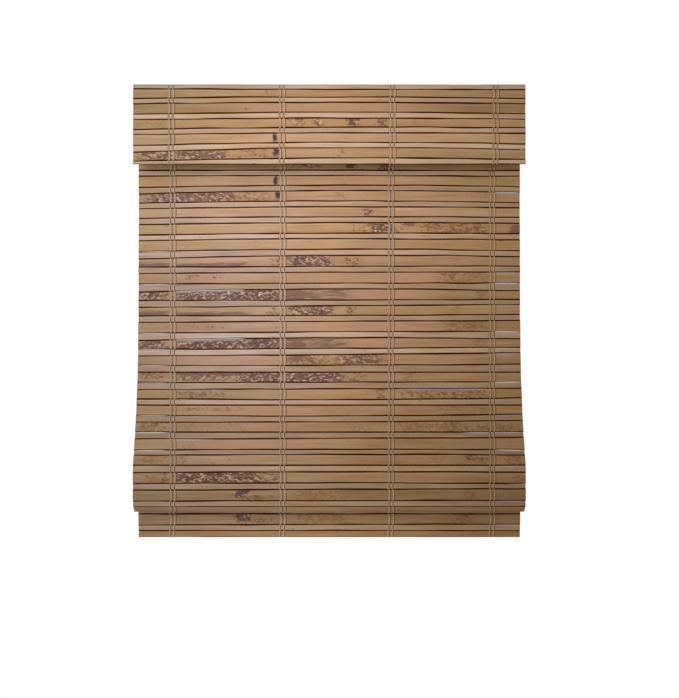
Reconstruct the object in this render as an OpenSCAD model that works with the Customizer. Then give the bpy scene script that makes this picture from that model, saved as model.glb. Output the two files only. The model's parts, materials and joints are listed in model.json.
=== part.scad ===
/* [Shade] */
// Width of the mat and of the valance
shade_w = 750; // [640:1:1200]
// Distance from the mat's edge in to each lift line
lift_inset = 140; // [115:1:195]

/* [Slats] */
// Height of a wide slat
wide_h = 20.5; // [17:0.1:24]
// Height of a narrow slat
narrow_h = 10.6; // [9:0.1:13]
// Height of the slat along the hem
hem_h = 13.4; // [11:0.1:17]
// Thickness of every slat
slat_t = 2.5; // [2:0.1:3.2]
// Gap between neighbouring slats at the middle of their thickness
slat_gap = 0.6; // [0.5:0.1:0.9]
// Flat left between the two bevels of a slat's edge
edge_flat = 0.4; // [0.3:0.1:0.5]

/* [Threads] */
// Width of one twined thread pair
thread_w = 1.8; // [1:0.1:3]
// How far the threads stand proud of the slats
thread_t = 0.7; // [0.5:0.1:1]
// Distance between the two pairs of a thread column
thread_pitch = 7.6; // [5:0.1:12]
// Thread columns, measured in from the left edge
left_columns = [67, 283]; // [40:1:300]
// Thread columns, measured in from the right edge
right_columns = [55, 254]; // [40:1:300]

/* [Pleats] */
// Largest fold angle of a pleat
fold_max = 80; // [60:1:84]
// Forward lean of the upper leaf of each pleat, from the top one down
upper_lean = [0, 1.5, 9.4]; // [0:0.1:20]
// Forward lean of the lower leaf of each pleat, from the top one down
lower_lean = [0, 4, 18]; // [0:0.1:20]
// Turn of the wide slat under the bottom fold, back from hanging
fold_wide_turn = 46; // [44:1:52]
// Turn of the narrow slat under the bottom fold, back from hanging
fold_narrow_turn = 126; // [120:1:128]
// Turn of the narrow slat above the return leaf, back from hanging
over_turn = 148; // [140:1:152]
// Turn of the wide slat that bridges the return leaf and the hem flap, back from hanging
bridge_turn = 78; // [72:1:80]
// Backward lean of the hem flap
hem_lean = 1.5; // [0:0.1:4]

/* [Valance] */
// Height of a wide valance slat
valance_wide_h = 17.6; // [14:0.1:20]
// Height of a narrow valance slat
valance_narrow_h = 9.6; // [8:0.1:11]
// Gap between the mount plane and the top of the valance
valance_drop = 0.3; // [0:0.1:3]
// Thickness of the fastening tape behind the valance
tape_t = 1.8; // [1.6:0.1:3]
// Height of the fastening tape
tape_h = 20; // [12:1:24]

/* [Head rail] */
// Depth of the head rail, front to back
rail_d = 62; // [60:0.5:70]
// Height of the head rail
rail_h = 38; // [37:0.5:46]
// Wall of the head rail
rail_wall = 1.2; // [1:0.1:1.6]
// Width of the lips that turn in at the top of the head rail
rail_lip = 7; // [5:0.5:9]
// Thickness of an end cap's plate
cap_t = 2; // [1.5:0.1:4]
// How far an end cap's plug reaches into the head rail
cap_plug = 8; // [5:0.5:15]

/* [Brackets] */
// Sheet thickness of a bracket
bracket_t = 1.5; // [1.2:0.1:1.7]
// Width of a bracket along the head rail
bracket_w = 36; // [28:1:50]
// Distance from the mat's edge in to the middle of each bracket
bracket_inset = 95; // [85:1:105]
// Length of the bracket's front and rear hooks
hook_l = 9; // [6:0.5:12]
// Diameter of a screw hole
screw_hole_d = 4.5; // [3.5:0.1:5.5]
// Distance between the two screw holes of a bracket
screw_pitch = 30; // [20:1:40]

/* [Mat hanging] */
// Distance from the head rail's back face in to the middle of the mat's thickness
mat_inset = 12.25; // [11:0.05:13]
// Distance from the head rail's underside to the top edge of the mat
mat_drop = 15.7; // [5:0.1:20]
// Sheet thickness of the carrier angle
carrier_t = 1.5; // [1:0.1:2.5]
// Reach of the carrier angle under the head rail
carrier_reach = 24; // [15:1:35]

/* [Battens] */
// Diameter of a batten rod
rod_d = 5; // [4:0.1:6]
// Gap between a rod and the threads that hold it
rod_clear = 0.1; // [0.05:0.05:0.2]
// How far a rod stops short of the mat's edge
rod_inset = 6; // [3:0.5:20]
// Wall of the clip that grips the rod
clip_wall = 0.65; // [0.5:0.05:0.7]
// Width of the clip along the rod
clip_w = 6; // [4:0.5:10]
// Radius of a cord ring at the middle of its wire
ring_r = 3.4; // [3:0.1:5]
// Diameter of a cord ring's wire
ring_wire = 1.6; // [1.2:0.1:2]

/* [Hem bar] */
// Height of the hem bar
hem_bar_h = 10; // [8:0.5:11]
// Thickness of the hem bar
hem_bar_t = 3; // [2:0.1:5]
// How far the hem bar stops short of the mat's edge
hem_bar_inset = 8; // [4:0.5:20]
// Wall of a hem bar cap
hem_cap_wall = 0.6; // [0.4:0.1:0.7]
// Length of a hem bar cap
hem_cap_l = 14; // [8:0.5:25]

/* [Lift shaft and spools] */
// Diameter of the lift shaft
shaft_d = 6; // [5:0.1:7]
// Height of the shaft's axis above the head rail's floor
shaft_rise = 17; // [16:0.1:19]
// Radius of a spool's core
spool_r = 9; // [8:0.1:9.5]
// Radius of a spool's flanges
spool_flange_r = 11; // [10:0.1:11.5]
// Length of a spool
spool_l = 30; // [20:0.5:45]
// Thickness of a spool's flange
spool_flange_t = 1.6; // [1:0.1:3]
// Wall of a spool cradle
cradle_wall = 2; // [1.5:0.1:3]
// Gap on each side of a turning part, along its shaft
end_play = 0.3; // [0.2:0.05:0.6]
// Radial gap of a part that is pressed on the shaft
press_clear = 0.02; // [0.01:0.01:0.04]
// Radial gap of a bearing
run_clear = 0.05; // [0.03:0.01:0.1]
// Outer diameter of a cord eyelet's flange
eyelet_flange_d = 6.6; // [6:0.1:7]
// Outer diameter of a cord eyelet's barrel
eyelet_barrel_d = 5; // [4.5:0.1:5.5]
// Bore of a cord eyelet
eyelet_bore_d = 3; // [2:0.1:3.5]
// Thickness of a cord eyelet's flanges
eyelet_flange_t = 1; // [0.6:0.1:1.4]

/* [Spring motor] */
// Teeth on each drum gear
gear_teeth = 24; // [24:1:24]
// Pitch radius of each drum gear
gear_r = 10.5; // [10:0.1:10.8]
// Height of a tooth above the pitch circle
gear_addendum = 0.75; // [0.6:0.05:0.8]
// Depth of a tooth below the pitch circle
gear_dedendum = 1; // [0.9:0.05:1.2]
// Width of the gears
gear_w = 6; // [4:0.5:10]
// Width of the spring band
band_w = 24; // [16:0.5:40]
// Thickness of the stretch of band between the drums
band_t = 0.6; // [0.4:0.1:1]
// Radius of the drums' cores
drum_r = 5; // [4.5:0.1:5.5]
// Outer radius of the band wound on the storage drum
stored_r = 9; // [8.5:0.1:9.2]
// Outer radius of the band wound on the output drum
output_r = 7.5; // [7:0.1:8.5]
// Wall of the motor housing
housing_wall = 1.5; // [1:0.1:2]
// Gap between a turning drum and what lies beside it
drum_clear = 0.4; // [0.3:0.05:0.6]

/* [Hidden] */
$fn = 48;

wood = "#B98F5E";
pale_wood = "#C29A6B";
dowel = "#C9B48C";
clear_plastic = "#DAD9D2";
white_plastic = "#E9E7E0";
rail_paint = "#E4DFD2";
steel = "#A9ABAD";

// Half of a fold, with a little spare, is the slope of a slat's edge bevels.
bevel_spare = 0.6;
bevel_angle = fold_max / 2 + bevel_spare;
bevel_h = (slat_t - edge_flat) / 2 * tan(bevel_angle);
// Threads sink into the slats by this much, and stop short of a fold line by the room that the fold needs.
thread_sink = 0.2;
thread_end_spare = 0.2;
thread_end = (slat_t / 2 + thread_t) * tan(fold_max / 2) + thread_end_spare;
lift_x = shade_w / 2 - lift_inset;
bracket_x = shade_w / 2 - bracket_inset;
// Cuts run this far past the faces that they open.
cut_over = 1;
column_x = concat([for (d = left_columns) d - shade_w / 2], [for (d = right_columns) shade_w / 2 - d]);

// The slats of each run of mat, from its upper fold line down.
leaf_slats = [wide_h, narrow_h, wide_h, narrow_h];
lower_slats = [narrow_h, wide_h, narrow_h, wide_h];
upper_slats = [narrow_h, wide_h, narrow_h, wide_h, narrow_h, wide_h, narrow_h];
return_slats = [wide_h, narrow_h, wide_h];
hem_slats = [narrow_h, wide_h, narrow_h, wide_h, narrow_h, wide_h, narrow_h, hem_h];
valance_pairs = 5;
valance_slats = [for (i = [0:2 * valance_pairs]) i % 2 == 0 ? valance_narrow_h : valance_wide_h];

function total(list, i = 0) = i < len(list) ? list[i] + total(list, i + 1) : 0;
function first(list, n) = [for (i = [0:1:n - 1]) list[i]];
function run_l(slats) = total(slats) + len(slats) * slat_gap;
function slat_top(slats, n) = -run_l(first(slats, n)) - slat_gap / 2;
function below(p, lean, slats) = p + run_l(slats) * [-sin(lean), -cos(lean)];

// Fold lines as [y, z], from the top of the mat down.
rail_bottom = -bracket_t - rail_h;
mat_y = rail_d / 2 - mat_inset;
mat_top = [mat_y, rail_bottom - mat_drop + slat_gap / 2];
pleats = len(upper_lean);
function upper_at(k) = k == 0 ? below(mat_top, 0, upper_slats) : batten_end(k - 1);
function nose_lean(k) = (upper_lean[k] + lower_lean[k]) / 2;
function batten_lean(k) = k < pleats - 1 ? (lower_lean[k] + upper_lean[k + 1]) / 2 : lower_lean[k] / 2;
function nose_at(k) = below(upper_at(k), upper_lean[k], leaf_slats);
function tip_at(k) = below(nose_at(k), upper_lean[k], [wide_h]);
function chin_at(k) = below(tip_at(k), nose_lean(k), [narrow_h]);
function lower_at(k) = below(chin_at(k), lower_lean[k], [wide_h]);
function batten_at(k) = below(lower_at(k), lower_lean[k], lower_slats);
function batten_end(k) = below(batten_at(k), batten_lean(k), [narrow_h]);
front_at = upper_at(pleats);
fold_wide_at = below(front_at, 0, leaf_slats);
fold_narrow_at = below(fold_wide_at, -fold_wide_turn, [wide_h]);
return_at = below(fold_narrow_at, -fold_narrow_turn, [narrow_h]);
over_at = below(return_at, -180, return_slats);
bridge_at = below(over_at, -over_turn, [narrow_h]);
hem_at = below(bridge_at, -bridge_turn, [wide_h]);

// Behind the mat: rods lie on the threads, and the rings stand behind the rods.
back_of_threads = slat_t / 2 + thread_t;
rod_y = back_of_threads + rod_clear + rod_d / 2;
clip_r = rod_d / 2 + rod_clear / 2;
ring_sink = 0.4;

// In the head rail.
rail_l = shade_w - 2 * cap_t;
rail_floor = rail_bottom + rail_wall;
cap_clear = 0.1;
hook_clear = 0.05;
carrier_drop = mat_drop + narrow_h;
shaft_z = rail_floor + shaft_rise;
eyelet_gap = 0.4;
eyelet_y = mat_y + back_of_threads + rod_clear + eyelet_flange_d / 2 + eyelet_gap;
shaft_y = eyelet_y - spool_r;
cradle_span = spool_l + 2 * end_play + 2 * cradle_wall;
shaft_end = 12;
shaft_l = 2 * lift_x + cradle_span + shaft_end;
spool_bore = shaft_d / 2 + press_clear;
bearing_r = shaft_d / 2 + run_clear;

// In the spring motor, with the band to the left and the gears to the right.
storage_y = shaft_y - 2 * gear_r;
gear_tip = gear_r + gear_addendum;
// Half a tooth's width at its root and at its tip, as shares of the pitch.
gear_root_share = 0.33;
gear_tip_share = 0.14;
drum_flange_t = 1.5;
drum_l = drum_flange_t + band_w + 2 * drum_clear + gear_w;
drum_left = -drum_l / 2;
band_left = drum_left + drum_flange_t + drum_clear;
housing_l = drum_l + 2 * end_play + 2 * housing_wall;
housing_front = storage_y - gear_tip - drum_clear - housing_wall;
housing_back = shaft_y + gear_tip + drum_clear + housing_wall;
housing_top = shaft_z + gear_tip + drum_clear;

module along_x(l) rotate([90, 0, 90]) linear_extrude(l, center = true) children();

module on_run(p, lean) translate([0, p[0], p[1]]) rotate([-lean, 0, 0]) children();

module slat(h) {
    half = slat_t / 2;
    flat = edge_flat / 2;
    outline = [[-flat, 0], [flat, 0], [half, -bevel_h], [half, bevel_h - h],
               [flat, -h], [-flat, -h], [-half, bevel_h - h], [-half, -bevel_h]];
    along_x(shade_w) polygon(outline);
}

module threads(l) {
    bar_l = l - 2 * thread_end;
    bar_y = slat_t / 2 - thread_sink;
    for (x = column_x, pair = [-1, 1], side = [0, 1])
        mirror([0, side, 0])
            translate([x + pair * thread_pitch / 2 - thread_w / 2, bar_y, -thread_end - bar_l])
                cube([thread_w, thread_t + thread_sink, bar_l]);
}

module run(slats) {
    for (i = [0:len(slats) - 1])
        translate([0, 0, slat_top(slats, i)]) slat(slats[i]);
    threads(run_l(slats));
}

module rod() {
    rod_l = shade_w - 2 * rod_inset;
    translate([0, rod_y, -run_l([narrow_h]) / 2])
        rotate([0, 90, 0]) cylinder(h = rod_l, d = rod_d, center = true);
}

module cord_ring() {
    clip_outer = clip_r + clip_wall;
    translate([0, rod_y, -run_l([narrow_h]) / 2]) difference() {
        union() {
            rotate([0, 90, 0]) cylinder(h = clip_w, r = clip_outer, center = true);
            translate([0, clip_outer + ring_r + ring_wire / 2 - ring_sink, 0])
                rotate_extrude() translate([ring_r, 0]) circle(d = ring_wire);
        }
        rotate([0, 90, 0]) cylinder(h = clip_w + cut_over, r = clip_r, center = true);
    }
}

module cord_ring_pair()
    for (side = [-1, 1]) translate([side * lift_x, 0, 0]) cord_ring();

module upper_leaf(k) color(wood) on_run(upper_at(k), upper_lean[k]) run(leaf_slats);
module nose(k) color(wood) {
    on_run(nose_at(k), upper_lean[k]) run([wide_h]);
    on_run(tip_at(k), nose_lean(k)) run([narrow_h]);
    on_run(chin_at(k), lower_lean[k]) run([wide_h]);
}

module lower_leaf(k) color(wood) on_run(lower_at(k), lower_lean[k]) run(lower_slats);
module batten_slat(k) color(pale_wood) on_run(batten_at(k), batten_lean(k)) run([narrow_h]);
module batten_rod(k) color(dowel) on_run(batten_at(k), batten_lean(k)) rod();
module cord_rings(k) color(clear_plastic) on_run(batten_at(k), batten_lean(k)) cord_ring_pair();

module headrail() color(rail_paint) difference() {
    translate([0, 0, rail_bottom]) along_x(rail_l) difference() {
        translate([-rail_d / 2, 0]) square([rail_d, rail_h]);
        translate([rail_wall - rail_d / 2, rail_wall])
            square([rail_d - 2 * rail_wall, rail_h - 2 * rail_wall]);
        translate([rail_lip - rail_d / 2, rail_h / 2]) square([rail_d - 2 * rail_lip, rail_h]);
    }
    for (side = [-1, 1])
        translate([side * lift_x, eyelet_y, rail_bottom - cut_over])
            cylinder(h = rail_wall + 2 * cut_over, d = eyelet_barrel_d + 2 * press_clear);
}

module end_cap(side) color(white_plastic) {
    plug_d = rail_d - 2 * rail_wall - 2 * cap_clear;
    plug_h = rail_h - 2 * rail_wall - 2 * cap_clear;
    translate([side * (rail_l + cap_t) / 2, 0, rail_bottom + rail_h / 2]) {
        cube([cap_t, rail_d, rail_h], center = true);
        translate([-side * (cap_t + cap_plug) / 2, 0, 0]) difference() {
            cube([cap_plug, plug_d, plug_h], center = true);
            cube([cap_plug + cut_over, plug_d - 2 * cap_t, plug_h - 2 * cap_t], center = true);
        }
    }
}

module bracket(side) color(steel) translate([side * bracket_x, 0, 0]) difference() {
    along_x(bracket_w) {
        inner = rail_d / 2 + hook_clear;
        translate([-inner - bracket_t, -bracket_t]) square([2 * (inner + bracket_t), bracket_t]);
        for (edge = [-inner - bracket_t, inner])
            translate([edge, -bracket_t - hook_l]) square([bracket_t, hook_l + bracket_t]);
    }
    for (y = [-1, 1])
        translate([0, y * screw_pitch / 2, -bracket_t - cut_over])
            cylinder(h = bracket_t + 2 * cut_over, d = screw_hole_d);
}

module mat_carrier() color(rail_paint) along_x(rail_l) {
    face_y = mat_y - back_of_threads;
    translate([face_y - carrier_t, rail_bottom - carrier_drop]) square([carrier_t, carrier_drop]);
    translate([face_y - carrier_reach, rail_bottom - carrier_t]) square([carrier_reach, carrier_t]);
}

module cord_eyelets() color(steel) for (side = [-1, 1])
    translate([side * lift_x, eyelet_y, rail_bottom - eyelet_flange_t]) difference() {
        union() {
            cylinder(h = eyelet_flange_t, d = eyelet_flange_d);
            cylinder(h = rail_wall + 2 * eyelet_flange_t, d = eyelet_barrel_d);
            translate([0, 0, eyelet_flange_t + rail_wall]) cylinder(h = eyelet_flange_t, d = eyelet_flange_d);
        }
        translate([0, 0, -cut_over])
            cylinder(h = rail_wall + 2 * eyelet_flange_t + 2 * cut_over, d = eyelet_bore_d);
    }

module spool_cradle(side) color(white_plastic) translate([side * lift_x, shaft_y, rail_floor]) {
    upright_d = spool_flange_r;
    upright_h = shaft_rise + bearing_r + cradle_wall;
    base_back = eyelet_y - eyelet_flange_d / 2 - cap_clear - shaft_y;
    translate([-cradle_span / 2, -upright_d / 2, 0])
        cube([cradle_span, upright_d / 2 + base_back, cradle_wall]);
    for (end = [-1, 1]) difference() {
        translate([end * (cradle_span - cradle_wall) / 2 - cradle_wall / 2, -upright_d / 2, 0])
            cube([cradle_wall, upright_d, upright_h]);
        translate([end * (cradle_span - cradle_wall) / 2, 0, shaft_rise])
            rotate([0, 90, 0]) cylinder(h = cradle_wall + cut_over, r = bearing_r, center = true);
    }
}

module lift_shaft() color(steel) translate([0, shaft_y, shaft_z])
    rotate([0, 90, 0]) cylinder(h = shaft_l, d = shaft_d, center = true);

module cord_spool(side) color(white_plastic) translate([side * lift_x, shaft_y, shaft_z])
    rotate([0, 90, 0]) difference() {
        union() {
            cylinder(h = spool_l, r = spool_r, center = true);
            for (end = [-1, 1])
                translate([0, 0, end * (spool_l - spool_flange_t) / 2])
                    cylinder(h = spool_flange_t, r = spool_flange_r, center = true);
        }
        cylinder(h = spool_l + cut_over, r = spool_bore, center = true);
    }

// A gear whose teeth taper from root to tip, a little thinner than the spaces between them.
module gear(phase) {
    pitch = 360 / gear_teeth;
    root_half = gear_root_share * pitch;
    tip_half = gear_tip_share * pitch;
    root_r = gear_r - gear_dedendum;
    corners = [[root_r, -root_half], [gear_tip, -tip_half], [gear_tip, tip_half], [root_r, root_half]];
    linear_extrude(gear_w) polygon([for (i = [0:gear_teeth - 1], c = corners)
        c[0] * [cos(i * pitch + phase + c[1]), sin(i * pitch + phase + c[1])]]);
}

// A drum stands along +Z here: flange, core for the band, then the gear.
module drum(phase) {
    cylinder(h = drum_flange_t, r = gear_r - gear_dedendum);
    cylinder(h = drum_l, r = drum_r);
    translate([0, 0, drum_l - gear_w]) gear(phase);
}

module output_drum() color(white_plastic) translate([drum_left, shaft_y, shaft_z])
    rotate([0, 90, 0]) difference() {
        drum(90);
        translate([0, 0, -cut_over]) cylinder(h = drum_l + 2 * cut_over, r = spool_bore);
    }

module storage_drum() color(white_plastic) translate([drum_left, storage_y, shaft_z]) rotate([0, 90, 0]) {
    drum(90 + 180 / gear_teeth);
    translate([0, 0, drum_l / 2]) cylinder(h = housing_l, d = shaft_d, center = true);
}

// The band is wound on both drums and crosses between them on their inner tangent.
module motor_spring() color(steel) translate([band_left, 0, shaft_z]) rotate([90, 0, 90]) {
    coils = [[storage_y, stored_r], [shaft_y, output_r]];
    reach = stored_r + output_r - band_t;
    slope = asin(reach / (2 * gear_r));
    linear_extrude(band_w) difference() {
        union() {
            for (c = coils) translate([c[0], 0]) circle(r = c[1]);
            translate([storage_y, 0]) rotate(-slope) translate([0, stored_r - band_t])
                square([2 * gear_r * cos(slope), band_t]);
        }
        for (c = coils) translate([c[0], 0]) circle(r = drum_r + drum_clear);
    }
}

module motor_housing() color(white_plastic) difference() {
    translate([-housing_l / 2, housing_front, rail_floor])
        cube([housing_l, housing_back - housing_front, housing_top - rail_floor]);
    translate([housing_wall - housing_l / 2, housing_front + housing_wall, rail_floor + housing_wall])
        cube([housing_l - 2 * housing_wall, housing_back - housing_front - 2 * housing_wall, rail_h]);
    for (y = [shaft_y, storage_y])
        translate([0, y, shaft_z])
            rotate([0, 90, 0]) cylinder(h = housing_l + cut_over, r = bearing_r, center = true);
}

valance_y = -rail_d / 2 - tape_t - thread_t - slat_t / 2;
valance_top = -valance_drop + slat_gap / 2;

module valance() color(wood) on_run([valance_y, valance_top], 0) run(valance_slats);

module valance_tape() color(white_plastic) {
    tape_l = shade_w - 2 * bracket_w;
    tape_top = rail_bottom + tape_h;
    translate([-tape_l / 2, -rail_d / 2 - tape_t, tape_top - tape_h]) cube([tape_l, tape_t, tape_h]);
}

module upper_mat() color(wood) on_run(mat_top, 0) run(upper_slats);

module top_batten() on_run(upper_at(0) + [0, run_l([narrow_h])], 0) children();
module batten_rod_1() color(dowel) top_batten() rod();
module cord_rings_1() color(clear_plastic) top_batten() cord_ring_pair();

module bottom_front_leaf() color(wood) on_run(front_at, 0) run(leaf_slats);
module bottom_fold_wide_slat() color(wood) on_run(fold_wide_at, -fold_wide_turn) run([wide_h]);
module bottom_fold_narrow_slat() color(pale_wood) on_run(fold_narrow_at, -fold_narrow_turn) run([narrow_h]);
module bottom_return_leaf() color(wood) on_run(return_at, -180) run(return_slats);
module bottom_over_slat() color(pale_wood) on_run(over_at, -over_turn) run([narrow_h]);
module bottom_bridge_slat() color(wood) on_run(bridge_at, -bridge_turn) run([wide_h]);
module hem_flap() color(wood) on_run(hem_at, -hem_lean) run(hem_slats);
module batten_rod_5() color(dowel) on_run(hem_at, -hem_lean) rod();
module cord_rings_5() color(clear_plastic) on_run(hem_at, -hem_lean) cord_ring_pair();

hem_bar_l = shade_w - 2 * hem_bar_inset;
hem_bar_y = back_of_threads + hem_cap_wall + hem_bar_t / 2;
hem_bar_z = hem_h / 2 - run_l(hem_slats) + slat_gap / 2;
module behind_hem() on_run(hem_at, -hem_lean) translate([0, hem_bar_y, hem_bar_z]) children();

module hem_bar() color(steel) behind_hem() cube([hem_bar_l, hem_bar_t, hem_bar_h], center = true);

module hem_cap(side) color(white_plastic) behind_hem() translate([side * hem_bar_l / 2, 0, 0]) difference() {
    translate([side * (hem_cap_wall - hem_cap_l / 2), 0, 0])
        cube([hem_cap_l, hem_bar_t + 2 * hem_cap_wall, hem_bar_h + 2 * hem_cap_wall], center = true);
    translate([-side * hem_cap_l / 2, 0, 0]) cube([hem_cap_l, hem_bar_t, hem_bar_h], center = true);
}

headrail();
end_cap(-1);  // end_cap_left
end_cap(1);  // end_cap_right
bracket(-1);  // bracket_left
bracket(1);  // bracket_right
mat_carrier();
cord_eyelets();
spool_cradle(-1);  // spool_cradle_left
spool_cradle(1);  // spool_cradle_right
motor_housing();
motor_spring();
valance();
valance_tape();
upper_mat();
batten_rod_1();
cord_rings_1();
lift_shaft();
cord_spool(-1);  // cord_spool_left
cord_spool(1);  // cord_spool_right
output_drum();
storage_drum();
upper_leaf(0);  // pleat_1_upper_leaf
nose(0);  // pleat_1_nose
lower_leaf(0);  // pleat_1_lower_leaf
batten_slat(0);  // batten_slat_2
batten_rod(0);  // batten_rod_2
cord_rings(0);  // cord_rings_2
upper_leaf(1);  // pleat_2_upper_leaf
nose(1);  // pleat_2_nose
lower_leaf(1);  // pleat_2_lower_leaf
batten_slat(1);  // batten_slat_3
batten_rod(1);  // batten_rod_3
cord_rings(1);  // cord_rings_3
upper_leaf(2);  // pleat_3_upper_leaf
nose(2);  // pleat_3_nose
lower_leaf(2);  // pleat_3_lower_leaf
batten_slat(2);  // batten_slat_4
batten_rod(2);  // batten_rod_4
cord_rings(2);  // cord_rings_4
bottom_front_leaf();
bottom_fold_wide_slat();
bottom_fold_narrow_slat();
bottom_return_leaf();
bottom_over_slat();
bottom_bridge_slat();
hem_flap();
batten_rod_5();
cord_rings_5();
hem_bar();
hem_cap(-1);  // hem_cap_left
hem_cap(1);  // hem_cap_right
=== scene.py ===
import bmesh
import bpy
import json
import math
import random
from mathutils import Matrix, Vector, noise


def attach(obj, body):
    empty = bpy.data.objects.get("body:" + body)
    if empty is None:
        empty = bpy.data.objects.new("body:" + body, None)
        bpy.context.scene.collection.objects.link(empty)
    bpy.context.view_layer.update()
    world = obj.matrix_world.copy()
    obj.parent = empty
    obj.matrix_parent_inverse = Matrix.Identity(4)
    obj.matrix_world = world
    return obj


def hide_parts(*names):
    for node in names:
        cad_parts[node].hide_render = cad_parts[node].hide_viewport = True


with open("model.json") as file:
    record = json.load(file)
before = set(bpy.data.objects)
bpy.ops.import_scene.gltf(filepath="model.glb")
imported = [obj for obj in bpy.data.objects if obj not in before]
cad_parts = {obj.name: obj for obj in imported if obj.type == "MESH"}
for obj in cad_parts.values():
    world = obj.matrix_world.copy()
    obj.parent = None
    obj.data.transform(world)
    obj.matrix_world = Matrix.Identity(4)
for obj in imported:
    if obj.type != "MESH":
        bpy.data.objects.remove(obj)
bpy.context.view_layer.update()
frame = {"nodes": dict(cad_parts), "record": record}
scene = bpy.context.scene
mm = 0.001
print("frame loaded:", len(frame["nodes"]), "nodes")


def hexColour(code):
    channels = [int(code[i:i + 2], 16) / 255 for i in (1, 3, 5)]
    return tuple(c / 12.92 if c <= 0.04045 else ((c + 0.055) / 1.055) ** 2.4 for c in channels) + (1.0,)


def addNode(tree, kind, settings=None, values=None, links=None):
    node = tree.nodes.new(kind)
    for name, value in (settings or {}).items():
        setattr(node, name, value)
    for socket, value in (values or {}).items():
        node.inputs[socket].default_value = value
    for socket, source in (links or {}).items():
        tree.links.new(source, node.inputs[socket])
    return node


def newMaterial(name):
    material = bpy.data.materials.new(name)
    material.use_nodes = True
    return material, material.node_tree, material.node_tree.nodes["Principled BSDF"]


def addPiece(bm, name, material):
    mesh = bpy.data.meshes.new(name)
    bm.to_mesh(mesh)
    bm.free()
    mesh.materials.append(material)
    piece = bpy.data.objects.new(name, mesh)
    scene.collection.objects.link(piece)
    return piece


# Camera, square to the shade and a little below its middle
view = {"distance": 1850, "matFront": 17.5, "height": -504.9, "focalPx": 941.5, "centrePx": 329.3,
        "imageW": 679, "imageH": 698, "sensor": 36, "farthest": 50}
cameraData = bpy.data.cameras.new("camera")
camera = bpy.data.objects.new("camera", cameraData)
scene.collection.objects.link(camera)
scene.camera = camera
cameraData.sensor_fit = "VERTICAL"
cameraData.sensor_height = view["sensor"]
cameraData.lens = view["focalPx"] * view["sensor"] / view["imageH"]
cameraData.shift_x = (view["imageW"] / 2 - view["centrePx"]) / view["imageH"]
cameraData.clip_end = view["farthest"]
camera.location = (0, (view["matFront"] - view["distance"]) * mm, view["height"] * mm)
camera.rotation_euler = (math.radians(90), 0, 0)

# Flamed bamboo slats, wiped with a brown stain and satin lacquered: tan with golden and rosy lengths,
# edges painted dark as shade where they face into the gaps, and mottled purple-brown scorch marks
bamboo, tree, shader = newMaterial("flamedBamboo")
bambooLook = {"grainAlong": 90, "grainAcross": 1.7, "bandAlong": 150, "bandAcross": 9,
              "mottleAlong": 8.0, "mottleAcross": 4.6, "mottleSlant": 0.9, "streakAlong": 34, "streakAcross": 3.4,
              "golden": "#F2E2B8", "rosy": "#F6DCCB", "brown": "#583D30", "purple": "#5B4346", "russet": "#7C5334",
              "pale": "#D2AC92", "under": "#8D6B58", "smoke": "#70544A", "char": "#32252A", "blush": "#BA8D72",
              # The last three colours are painted light: warm, then dark shade where the slats face into the gaps, and
              # a pale highlight
              "curl": "#84592E", "edge": "#2A1306", "gapWarmth": "#FFB86A", "glint": "#A39AA2"}
place, tintAndLight, marksAndGlint, washesAndShade, knotAt, shadeFall = [
    addNode(tree, "ShaderNodeAttribute", {"attribute_name": name})
    for name in ("slatPlace", "slatTintAndLight", "slatMarksAndGlint", "slatWashesAndShade", "slatKnot", "slatShade")]
mark = addNode(tree, "ShaderNodeSeparateColor", links={"Color": marksAndGlint.outputs["Color"]})
washAndShade = addNode(tree, "ShaderNodeSeparateColor", links={"Color": washesAndShade.outputs["Color"]})
split = addNode(tree, "ShaderNodeSeparateXYZ", links={"Vector": place.outputs["Vector"]})
slant = addNode(tree, "ShaderNodeMath", {"operation": "MULTIPLY_ADD"}, {1: bambooLook["mottleSlant"]},
                {0: split.outputs["Y"], 2: split.outputs["X"]})
slanted = addNode(tree, "ShaderNodeCombineXYZ",
                  links={"X": slant.outputs[0], "Y": split.outputs["Y"], "Z": split.outputs["Z"]})
grainAt, bandAt, streakAt, mottleAt = [
    addNode(tree, "ShaderNodeVectorMath", {"operation": "MULTIPLY"},
            {1: (1 / bambooLook[name + "Along"], 1 / bambooLook[name + "Across"], 1)}, {0: source.outputs["Vector"]})
    for name, source in (("grain", place), ("band", place), ("streak", place), ("mottle", slanted))]
grain = addNode(tree, "ShaderNodeTexNoise", values={"Scale": 1, "Detail": 3, "Roughness": 0.6},
                links={"Vector": grainAt.outputs[0]})
bandNoise = addNode(tree, "ShaderNodeTexNoise", values={"Scale": 1, "Detail": 2}, links={"Vector": bandAt.outputs[0]})
band = addNode(tree, "ShaderNodeSeparateColor", links={"Color": bandNoise.outputs["Color"]})
mottle = addNode(tree, "ShaderNodeTexNoise", values={"Scale": 1, "Detail": 1.5, "Roughness": 0.5, "Distortion": 1.1},
                 links={"Vector": mottleAt.outputs[0]})
streak = addNode(tree, "ShaderNodeTexNoise", values={"Scale": 1, "Detail": 2, "Distortion": 0.4},
                 links={"Vector": streakAt.outputs[0]})

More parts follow.
